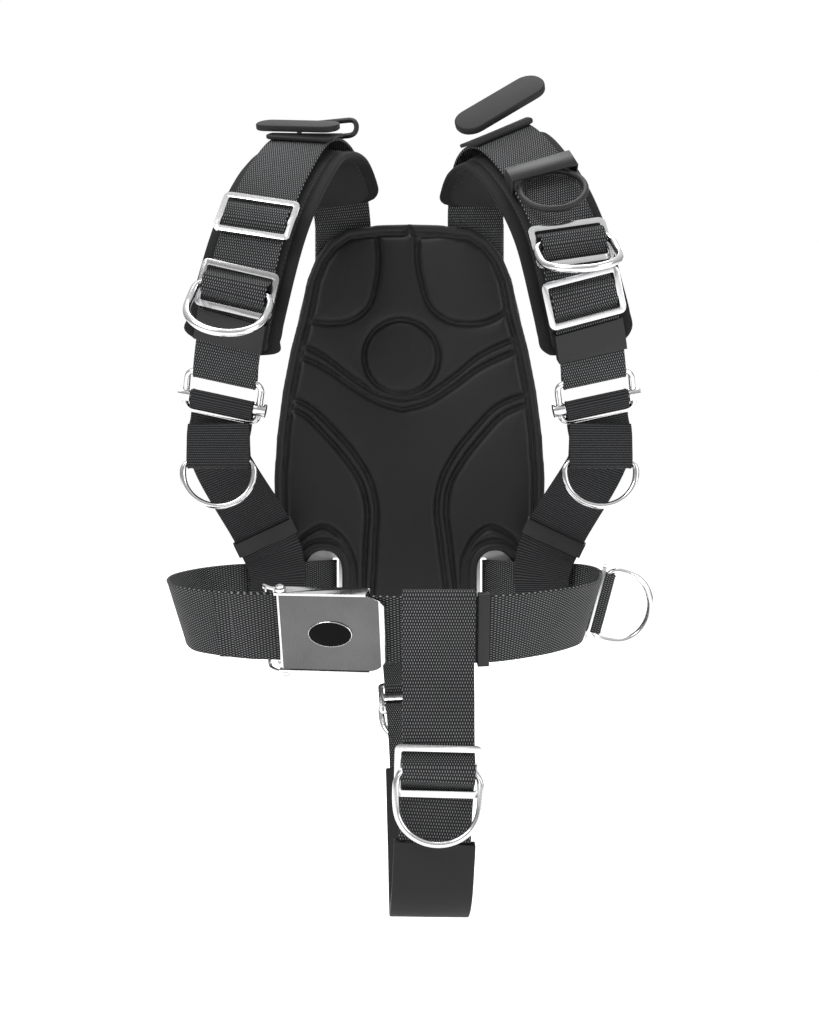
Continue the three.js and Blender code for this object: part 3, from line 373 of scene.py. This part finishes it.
def corner_rings(node):
    """The four corners of each ring, in one order all along the strap.

    They are inner left, outer left, outer right and inner right.
    """
    mesh = welded(node)
    near = {v.index: sorted({e.other_vert(v).index for e in v.link_edges}) for v in mesh.verts}
    places = np.array([v.co[:] for v in mesh.verts])
    mesh.free()
    tip = layers_from([0], near)[-1][0]
    around = sorted({n for v in near[tip] for n in near[v]} | set(near[tip]) - {tip})
    options = []
    for trio in itertools.combinations([n for n in around if n != tip], 3):
        start = {tip, *trio}
        if len({n for v in start for n in near[v]} - start) == 4:
            layers = layers_from(start, near)
            if all(len(layer) == 4 for layer in layers):
                options.append(layers)
    rings = [places[layer] for layer in max(options, key=len)]
    middle = len(rings) // 2
    ring = rings[middle]
    partner = 1 + int(np.argmin(np.linalg.norm(ring[1:] - ring[0], axis=1)))
    others = [i for i in (1, 2, 3) if i != partner]
    others.sort(key=lambda i: np.linalg.norm(ring[i] - ring[partner]))
    rings[middle] = ring[[0, partner, others[0], others[1]]]
    for step, stop in ((1, len(rings)), (-1, -1)):
        for i in range(middle + step, stop, step):
            order = min(itertools.permutations(range(4)),
                        key=lambda p: np.linalg.norm(rings[i][list(p)] - rings[i - step], axis=1).sum())
            rings[i] = rings[i][list(order)]
    return np.array(rings)


class Strip:
    """The smooth line of a strap: its middle, the way across it, the way out of it, and its size."""

    def __init__(self, node):
        rings = corner_rings(node)
        left, right = rings[:, :2].mean(axis=1), rings[:, 2:].mean(axis=1)
        inner, outer = rings[:, [0, 3]].mean(axis=1), rings[:, 1:3].mean(axis=1)
        self.middle = rings.mean(axis=1)
        across, out = right - left, outer - inner
        self.half = np.linalg.norm(across, axis=1) / 2
        self.thick = float(np.median(np.linalg.norm(out, axis=1)))
        self.across = across / (2 * self.half[:, None])
        self.out = out / np.linalg.norm(out, axis=1)[:, None]
        self.run = np.concatenate([[0], np.cumsum(np.linalg.norm(np.diff(self.middle, axis=0), axis=1))])
        self.length = float(self.run[-1])

    def at(self, distances):
        """Smooth values at these distances: each ring's slope is that of its neighbours."""
        def smooth(values):
            slope = np.gradient(values, self.run, axis=0)
            i = np.clip(np.searchsorted(self.run, distances, side="right") - 1, 0, len(self.run) - 2)
            gap = self.run[i + 1] - self.run[i]
            t = (distances - self.run[i]) / gap
            if values.ndim > 1:
                t, gap = t[:, None], gap[:, None]
            return ((2 * t**3 - 3 * t**2 + 1) * values[i] + (t**3 - 2 * t**2 + t) * gap * slope[i]
                    + (3 * t**2 - 2 * t**3) * values[i + 1] + (t**3 - t**2) * gap * slope[i + 1])
        across, out = smooth(self.across), smooth(self.out)
        across /= np.linalg.norm(across, axis=1)[:, None]
        out -= across * (out * across).sum(axis=1)[:, None]
        return smooth(self.middle), across, out / np.linalg.norm(out, axis=1)[:, None], smooth(self.half)


# %% A closed skin round a strip, from a cross-section
def skin(name, strip, section, step=1.5 * MM):
    """section lists (place across from -1 to 1, height out in metres), counter-clockwise."""
    count = max(int(strip.length / step), 4) + 1
    distances = np.linspace(0, strip.length, count)
    middle, across, out, half = strip.at(distances)
    sides = np.array(section)
    points = (middle[:, None] + across[:, None] * (sides[:, 0][None, :, None] * half[:, None, None])
              + out[:, None] * sides[:, 1][None, :, None])
    n = len(section)
    faces = [(r * n + k, r * n + (k + 1) % n, (r + 1) * n + (k + 1) % n, (r + 1) * n + k)
             for r in range(count - 1) for k in range(n)]
    faces += [tuple(range(n - 1, -1, -1)), tuple((count - 1) * n + k for k in range(n))]
    mesh = bpy.data.meshes.new(name)
    mesh.from_pydata(points.reshape(-1, 3).tolist(), [], faces)
    cloth = mesh.uv_layers.new(name="cloth")
    spread = np.stack([np.broadcast_to(sides[:, 0] * half.max(), (count, n)),
                       np.broadcast_to(distances[:, None], (count, n))], axis=-1).reshape(-1, 2) / MM
    corner = np.empty(len(mesh.loops), dtype=np.int32)
    mesh.loops.foreach_get("vertex_index", corner)
    cloth.data.foreach_set("uv", spread[corner].astype(np.float32).ravel())
    return settle_mesh(name, mesh)


def settle_mesh(name, mesh):
    """Faces turned outward and shaded smooth, in a new object."""
    tidy = bmesh.new()
    tidy.from_mesh(mesh)
    bmesh.ops.recalc_face_normals(tidy, faces=tidy.faces)
    tidy.to_mesh(mesh)
    tidy.free()
    mesh.shade_smooth()
    piece = bpy.data.objects.new(name, mesh)
    scene.collection.objects.link(piece)
    return piece


def stand_for(piece, node, *materials):
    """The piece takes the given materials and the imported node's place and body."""
    piece.data.materials.clear()
    for material in materials:
        piece.data.materials.append(material)
    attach(piece, body_of_node[node])
    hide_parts(node)
    return piece


# %% [markdown]
# ## Webbing
#
# Woven nylon 50 mm wide. Its edges are rounded and a little thicker than its middle, where the
# weft turns back.


# %% Webbing strips
def webbing_section(thick):
    half = thick / 2
    upper = [(1.0, 0.0), (0.993, 0.55 * half), (0.975, half), (0.94, half), (0.91, 0.8 * half),
             (0.5, 0.86 * half), (0.0, 0.86 * half)]
    upper += [(-x, z) for x, z in reversed(upper[:-1])]
    lower = [(x, -z) for x, z in reversed(upper[1:-1])]
    return upper + lower


webbing = {
    "shoulder_webbing_right": belt_weave, "shoulder_webbing_left": belt_weave,
    "waist_belt_right": belt_weave, "waist_belt_left": belt_weave, "crotch_webbing": belt_weave,
    "lower_webbing_right": rib_weave, "lower_webbing_left": rib_weave,
    "pull_tab_right": rib_weave, "pull_tab_left": rib_weave,
}
strips = {node: Strip(node) for node in webbing}
for node, material in webbing.items():
    strip = strips[node]
    stand_for(skin("woven_" + node, strip, webbing_section(strip.thick)), node, material)
    print(node, round(strip.length / MM), "mm long,", round(strip.thick / MM, 1), "mm thick")

# %% [markdown]
# ## Padded shoulder straps
#
# Foam under a knitted face, bound along both edges with a sewn tape. The section is crowned in the
# middle, dips at the seam and rises again over the binding.


# %% Shoulder pads
BINDING = 9 * MM


def pad_section(thick, half_width):
    seam = 1 - BINDING / half_width
    half = thick / 2
    shape = [(1.0, 0.0), (0.99, 0.42), (0.955, 0.62), (seam + 0.06, 0.66), (seam + 0.015, 0.56),
             (seam - 0.01, 0.5), (seam - 0.05, 0.74), (seam - 0.14, 0.94), (0.35, 1.0), (0.0, 1.0)]
    upper = [(x, z * half) for x, z in shape]
    upper += [(-x, z) for x, z in reversed(upper[:-1])]
    return upper + [(x, -z) for x, z in reversed(upper[1:-1])]


def bind_edges(piece, strip):
    """The second material, the tape, goes on the faces that lie outside the seam."""
    uv = piece.data.uv_layers["cloth"].data
    limit = (strip.half.max() - BINDING) / MM
    for face in piece.data.polygons:
        if min(abs(uv[i].uv[0]) for i in face.loop_indices) > limit - 0.6:
            face.material_index = 1


STITCH_PITCH = 4.2 * MM
STITCH_SIZE = (0.45 * MM, 1.5 * MM, 0.4 * MM)
SEAM_INSET = 1.2 * MM
SEAM_END = 18 * MM


def stitch_rows(name, strip, rows, start, stop):
    """Rows of short raised threads on a strap: each row is a place aside and a height out of it."""
    points, faces = [], []
    for aside, lift in rows:
        distances = np.arange(start, stop, STITCH_PITCH)
        middle, across, out, _ = strip.at(distances)
        along = np.cross(out, across)
        for m, x, y, z in zip(middle, across, along, out):
            centre = m + x * aside + z * lift
            first = len(points)
            for direction, size in zip((x, y, z), STITCH_SIZE):
                points += [centre + direction * size, centre - direction * size]
            for a, b, c in itertools.product((0, 1), (2, 3), (4, 5)):
                faces.append((first + a, first + b, first + c))
    mesh = bpy.data.meshes.new(name)
    mesh.from_pydata([tuple(p) for p in points], [], faces)
    piece = settle_mesh(name, mesh)
    piece.data.materials.append(thread)
    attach(piece, "harness")
    return piece


for side in ("right", "left"):
    node = "shoulder_pad_" + side
    strip = Strip(node)
    seam = strip.half.max() - BINDING - SEAM_INSET
    face_height = 0.3 * strip.thick
    stitch_rows("pad_stitches_" + side, strip,
                [(s * seam, t * face_height) for s in (-1, 1) for t in (-1, 1)],
                SEAM_END, strip.length - SEAM_END)
    piece = skin("foam_" + node, strip, pad_section(strip.thick, strip.half.max()), 2 * MM)
    stand_for(piece, node, neoprene, binding)
    bind_edges(piece, strip)
    print(piece.name, len(piece.data.polygons), "faces")

# %% [markdown]
# ## The back pad
#
# One moulded foam panel under satin cloth. A hot mould presses channels into it, and the foam
# swells between them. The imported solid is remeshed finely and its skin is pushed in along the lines
# of the channels, measured as distances in the pad's own plane.

# %% The channels, as half curves from the pad's middle line: distance aside and height, in millimetres
BOSS_HEIGHT = 68
BOSS_RADIUS = 33
CHANNEL_DEPTH = 4.2
CHANNEL_WIDTH = 2.3
half_channels = {
    "upper panel": [(18, 175), (17, 156), (20, 134), (27, 113), (41, 101), (60, 97), (80, 100), (93, 108),
                    (91, 144), (83, 160), (68, 171), (46, 176), (18, 175)],
    "sweep": [(0, 21), (19, 26), (43, 40), (69, 58), (104, 74)],
    "sweep above": [(0, 30), (22, 35), (44, 49), (70, 69), (102, 84)],
    "flank": [(110, 35), (84, 24), (62, 3), (44, -19), (32, -41), (27, -64), (29, -95), (34, -150)],
    "flank outside": [(112, 27), (88, 16), (68, -4), (51, -25), (39, -46), (35, -67), (37, -95), (42, -150)],
    "notch": [(106, -108), (88, -89), (74, -83), (60, -92), (51, -108), (47, -150)],
}


def along_curve(points, spacing=1.5):
    """Points set evenly along a smooth line through these."""
    p = np.array(points, dtype=float)
    run = np.concatenate([[0], np.cumsum(np.linalg.norm(np.diff(p, axis=0), axis=1))])
    slope = np.gradient(p, run, axis=0)
    d = np.arange(0, run[-1], spacing)
    i = np.clip(np.searchsorted(run, d, side="right") - 1, 0, len(run) - 2)
    gap = (run[i + 1] - run[i])[:, None]
    t = (d - run[i])[:, None] / gap
    return ((2 * t**3 - 3 * t**2 + 1) * p[i] + (t**3 - 2 * t**2 + t) * gap * slope[i]
            + (3 * t**2 - 2 * t**3) * p[i + 1] + (t**3 - t**2) * gap * slope[i + 1])


def tree_of(points):
    tree = kdtree.KDTree(len(points))
    for i, (x, z) in enumerate(points):
        tree.insert((x, 0, z), i)
    tree.balance()
    return tree


def middle_line(height):
    """The pad's middle leans a little to one side as it rises."""
    return -5 - 0.035 * height


channel_points = []
for line in half_channels.values():
    for aside, height in along_curve(line):
        channel_points += [(middle_line(height) + aside, height), (middle_line(height) - aside, height)]
for turn in np.linspace(0, 2 * math.pi, 140, endpoint=False):
    channel_points.append((middle_line(BOSS_HEIGHT) + BOSS_RADIUS * math.cos(turn),
                           BOSS_HEIGHT + BOSS_RADIUS * math.sin(turn)))
channels = tree_of(channel_points)
print(len(channel_points), "points along the channels")

# %% Remesh the pad and relax its skin
VOXEL = 1.7 * MM
source = bpy.data.objects["back_pad"]
pad_mesh = source.data.copy()
pad = bpy.data.objects.new("moulded_back_pad", pad_mesh)
scene.collection.objects.link(pad)
weld = pad.modifiers.new("weld", "WELD")
weld.merge_threshold = WELD
remesh = pad.modifiers.new("remesh", "REMESH")
remesh.mode = "VOXEL"
remesh.voxel_size = VOXEL
relax = pad.modifiers.new("relax", "SMOOTH")
relax.factor = 0.5
relax.iterations = 9
pad.data = bpy.data.meshes.new_from_object(pad.evaluated_get(bpy.context.evaluated_depsgraph_get()))
pad.modifiers.clear()
pad.data.name = "moulded_back_pad"
print("pad remeshed to", len(pad.data.vertices), "points")

# %% Find the rim, which is the outer wall away from the screws and the reliefs behind
SCREW_CLEARANCE = 12 * MM
RELIEF_FRONT = -35.5 * MM
FACING = 0.45

count = len(pad.data.vertices)
place = np.empty(count * 3)
lean = np.empty(count * 3)
pad.data.vertices.foreach_get("co", place)
pad.data.vertices.foreach_get("normal", lean)
place, lean = place.reshape(-1, 3), lean.reshape(-1, 3)
on_wall = (np.abs(lean[:, 1]) < FACING) & (place[:, 1] < RELIEF_FRONT)
for screw in ("pad_screw_1", "pad_screw_2", "pad_screw_3", "pad_screw_4"):
    low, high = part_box(screw)
    aside = np.hypot(place[:, 0] - (low[0] + high[0]) / 2, place[:, 2] - (low[2] + high[2]) / 2)
    on_wall &= aside > SCREW_CLEARANCE
rim_points = place[on_wall][:, [0, 2]] / MM
rim = tree_of(rim_points)
print("rim of", len(rim_points), "points")

# %% Press the channels and the border seam, and let the foam swell between them
BORDER = 9
SWELL = 2.4
SWELL_REACH = 9
FAR = 1e3

front = lean[:, 1] < -FACING
for i in np.nonzero(front)[0]:
    here = (place[i, 0] / MM, 0, place[i, 2] / MM)
    from_rim = rim.find(here)[2]
    from_channel = channels.find(here)[2]
    from_border = abs(from_rim - BORDER)
    nearest = min(from_channel if from_rim > BORDER else FAR, from_border)
    press = CHANNEL_DEPTH * math.exp(-(nearest / CHANNEL_WIDTH) ** 2)
    swell = SWELL * (1 - math.exp(-nearest / SWELL_REACH)) if from_rim > BORDER else 0
    place[i, 1] += (press - swell) * MM
pad.data.vertices.foreach_set("co", place.ravel())
pad.data.update()
pad.data.shade_smooth()
stand_for(pad, "back_pad", pad_cloth)
print("pad pressed over", int(front.sum()), "points")

# %% [markdown]
# ## Wire rings and frames
#
# D-rings and adjuster frames are bent from round wire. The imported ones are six-sided tubes. A
# subdivision surface makes them round, and draws their skin in by a sixth of the wire's radius, so
# each point is pushed out again by as much.


# %% Round wires
def owned_copy(node, name):
    mesh = welded(node)
    data = bpy.data.meshes.new(name)
    mesh.to_mesh(data)
    mesh.free()
    piece = bpy.data.objects.new(name, data)
    scene.collection.objects.link(piece)
    return piece


def baked(piece):
    """The modifiers' result becomes the mesh."""
    shape = piece.evaluated_get(bpy.context.evaluated_depsgraph_get())
    piece.data = bpy.data.meshes.new_from_object(shape)
    piece.modifiers.clear()
    piece.data.shade_smooth()
    return piece


def round_wire(node, diameter, material, slimmer=0.0):
    piece = owned_copy(node, "round_" + node)
    mesh = bmesh.new()
    mesh.from_mesh(piece.data)
    bmesh.ops.join_triangles(mesh, faces=mesh.faces, angle_face_threshold=0.9, angle_shape_threshold=1.6)
    mesh.to_mesh(piece.data)
    mesh.free()
    smooth = piece.modifiers.new("round", "SUBSURF")
    smooth.levels = smooth.render_levels = 2
    baked(piece)
    points = np.empty(len(piece.data.vertices) * 3)
    lean = np.empty_like(points)
    piece.data.vertices.foreach_get("co", points)
    piece.data.vertices.foreach_get("normal", lean)
    piece.data.vertices.foreach_set("co", points + lean * (diameter / 12 - slimmer))
    piece.data.update()
    return stand_for(piece, node, material)


wires = {"shoulder_dring_right": 6, "shoulder_dring_left": 6, "hip_dring": 5.5, "crotch_rear_dring": 5.5,
         "pull_dring_right": 5, "pull_dring_left": 5,
         "adjuster_frame_right": 5, "adjuster_frame_left": 5}
for node, diameter in wires.items():
    round_wire(node, diameter * MM, polished)
# The front crotch ring turns inside a tight fold of webbing, so its wire is a hair thinner.
round_wire("crotch_front_dring", 5.5 * MM, polished, slimmer=0.3 * MM)
round_wire("retaining_ring_left", 5 * MM, ring_rubber)
round_wire("hose_loop_right", 4.4 * MM, patch_plastic)
print(len(wires) + 3, "wires rounded")

# %% [markdown]
# ## Pressed and moulded hardware
#
# Stamped steel is never knife-sharp: tumbling rounds its edges, and those edges are what catch the
# light. A bevel on each sharp edge does this.


# %% Softened edges
SHARP_EDGE = math.radians(38)
SHADED_EDGE = math.radians(40)


def softened(node, edge, *materials, segments=3):
    piece = owned_copy(node, "soft_edged_" + node)
    mesh = bmesh.new()
    mesh.from_mesh(piece.data)
    bmesh.ops.dissolve_limit(mesh, angle_limit=math.radians(1), verts=mesh.verts, edges=mesh.edges)
    mesh.to_mesh(piece.data)
    mesh.free()
    bevel = piece.modifiers.new("edge", "BEVEL")
    bevel.width = edge
    bevel.segments = segments
    bevel.limit_method = "ANGLE"
    bevel.angle_limit = SHARP_EDGE
    baked(piece)
    piece.data.set_sharp_from_angle(angle=SHADED_EDGE)
    return stand_for(piece, node, *materials)


# %% Sliders, screws and small bars
for node in ("plain_slider_right", "plain_slider_left", "dring_slider_right", "dring_slider_left",
             "hip_slider", "crotch_rear_slider", "crotch_front_slider"):
    softened(node, 0.7 * MM, polished)
for node in ("pad_screw_1", "pad_screw_2", "pad_screw_3", "pad_screw_4", "buckle_pin", "buckle_bail",
             "adjuster_bar_right", "adjuster_bar_left"):
    softened(node, 0.4 * MM, polished)
print("sliders, screws and bars softened")

# %% Buckle: the lever's face is brushed and its lips polished, and the badge is enamel in a steel rim
LEVER_FACE = 0.97
BADGE_FACE = 0.99

softened("buckle_frame", 0.4 * MM, polished)
lever = softened("buckle_lever", 0.6 * MM, brushed, polished)
widest = max(lever.data.polygons, key=lambda face: face.area).normal.copy()
for face in lever.data.polygons:
    if abs(face.normal.dot(widest)) < LEVER_FACE:
        face.material_index = 1
softened("backplate", 0.6 * MM, plate_steel)
badge = softened("buckle_badge", 0.9 * MM, enamel, polished, segments=2)
upright = max(badge.data.polygons, key=lambda face: face.area).normal.copy()
for face in badge.data.polygons:
    face.material_index = 0 if abs(face.normal.dot(upright)) > BADGE_FACE else 1
print("buckle and back plate softened")

# %% Keepers, sleeve and hose keepers
for node in ("keeper_patch_right", "keeper_patch_left", "elastic_band_left", "belt_keeper",
             "lower_keeper_right", "lower_keeper_left"):
    softened(node, 0.6 * MM, patch_plastic)
softened("crotch_sleeve", 1.7 * MM, neoprene, segments=4)
for side in ("right", "left"):
    softened("hose_keeper_base_" + side, 0.9 * MM, neoprene)
    flap = softened("hose_keeper_flap_" + side, 1.2 * MM, neoprene)
